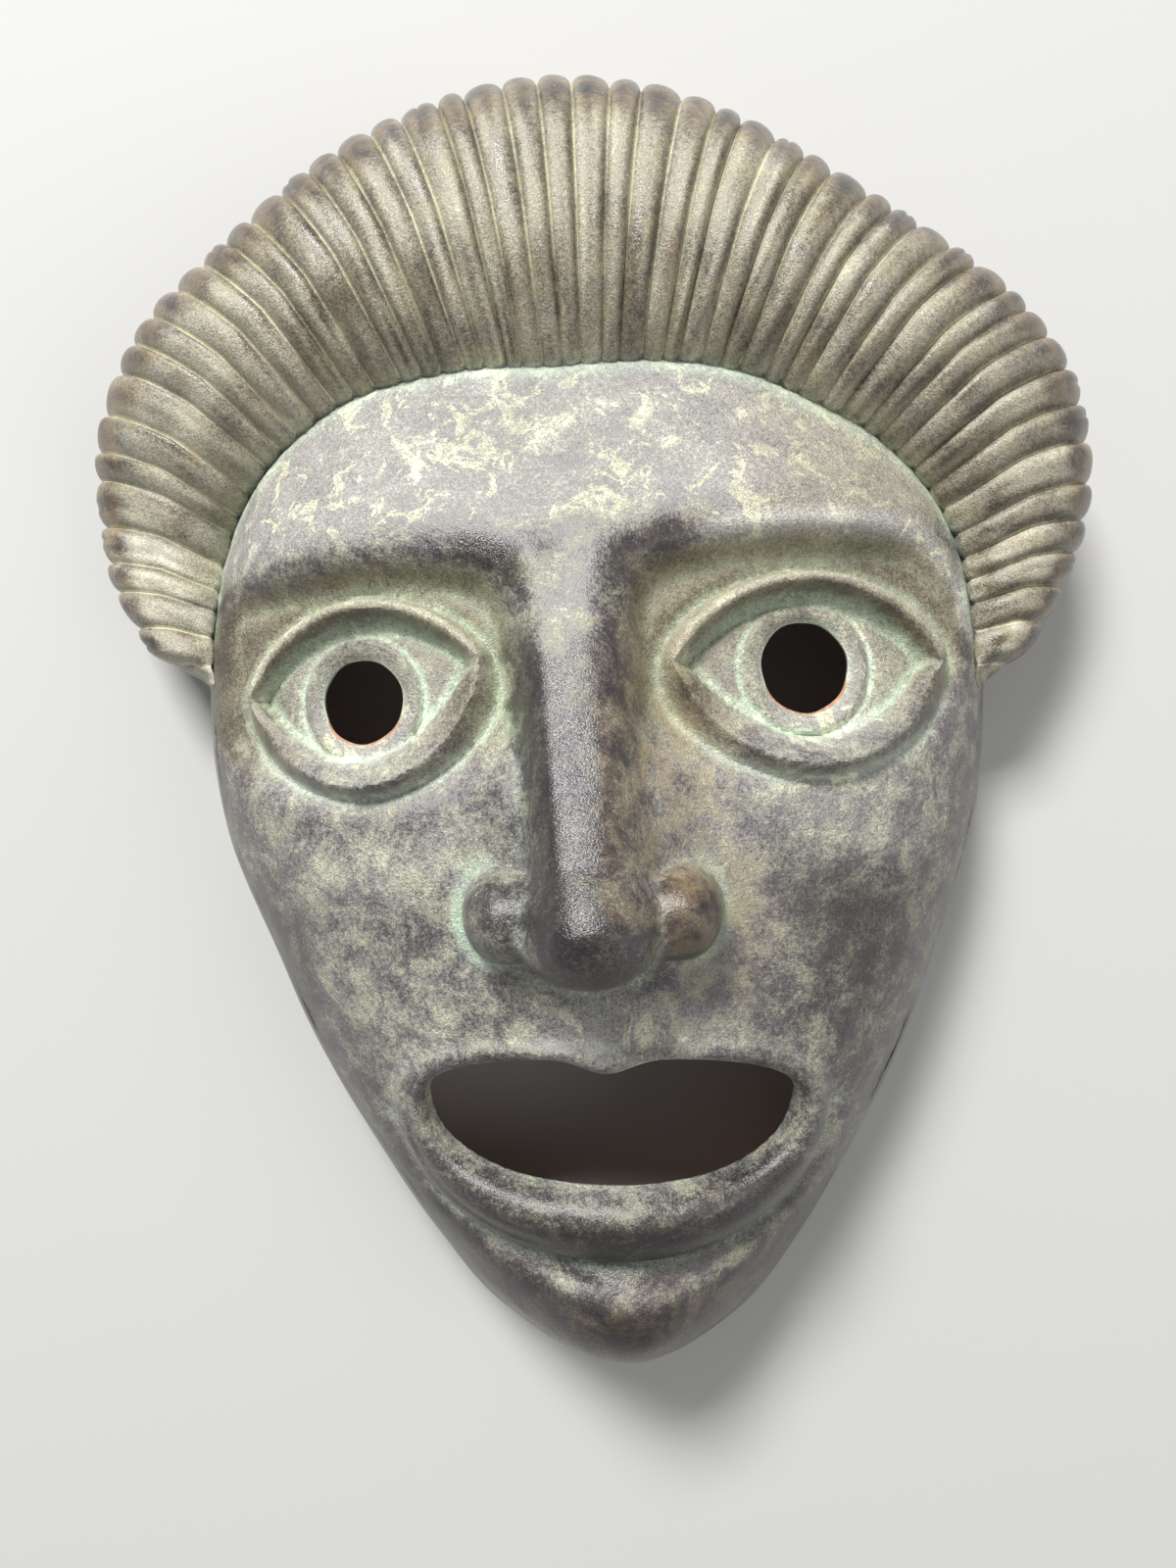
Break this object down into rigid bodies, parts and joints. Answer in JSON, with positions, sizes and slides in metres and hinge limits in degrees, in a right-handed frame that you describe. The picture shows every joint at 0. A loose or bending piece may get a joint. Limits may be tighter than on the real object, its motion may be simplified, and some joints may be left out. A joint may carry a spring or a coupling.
{
  "type": "theatre mask",
  "caption": "Hollow terracotta theatre mask with a ribbed roll of hair, pierced pupils and an open mouth, open at the back with a flat rim.",
  "frame": {"origin": "under the middle of the mask, in the plane of the rim it lies on", "axes": "+Z out of the face, +Y from the chin to the top of the hair, +X to the right as one looks at the face"},
  "size_m": [0.2098, 0.2652, 0.0903],
  "materials": {
    "patinated_terracotta": "dark brown and grey paint with a pale green rubbed patina, satin"
  },
  "bodies": {
    "root": {"mask": "patinated_terracotta"}
  },
  "joints": []
}
